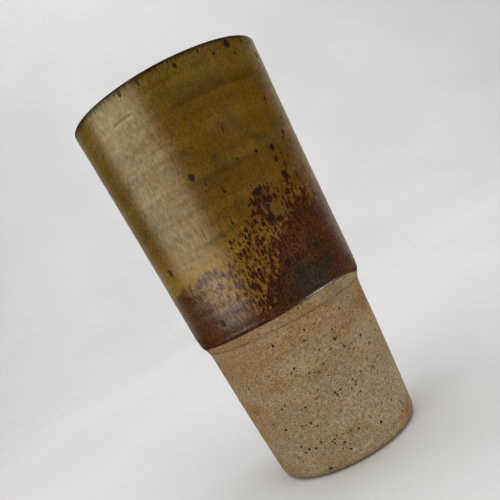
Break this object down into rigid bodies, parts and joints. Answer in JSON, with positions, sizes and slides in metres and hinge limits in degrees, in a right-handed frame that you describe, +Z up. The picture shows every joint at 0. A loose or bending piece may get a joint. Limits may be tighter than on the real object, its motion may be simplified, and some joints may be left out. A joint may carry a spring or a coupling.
{
  "type": "stoneware vase",
  "caption": "Tall stoneware vase: bare tapering lower wall, wider olive-glazed upper wall over a rounded shoulder, dark lip and glazed inside, for cut stems and water.",
  "frame": {"origin": "centre of the foot ring, on the surface that the vase stands on", "axes": "+Z up along the axis of the vase, -Y towards the viewer of the picture"},
  "size_m": [0.141, 0.141, 0.28],
  "materials": {
    "stoneware": "bare fired stoneware, fine iron specks",
    "slip": "fired slip, slightly darker than the clay",
    "olive_glaze": "satin olive and rust glaze",
    "lip_glaze": "thin dark satin glaze",
    "inner_glaze": "satin olive-brown liner glaze",
    "iron": "fused iron spots, near black"
  },
  "bodies": {
    "root": {"base_disc": "stoneware", "foot_slip": "slip", "lower_wall": "stoneware", "seam_slip": "slip", "upper_wall": "stoneware", "outer_glaze": "olive_glaze", "lip_glaze": "lip_glaze", "liner_glaze": "inner_glaze", "floor_glaze": "inner_glaze", "iron_spots": "iron"}
  },
  "joints": []
}
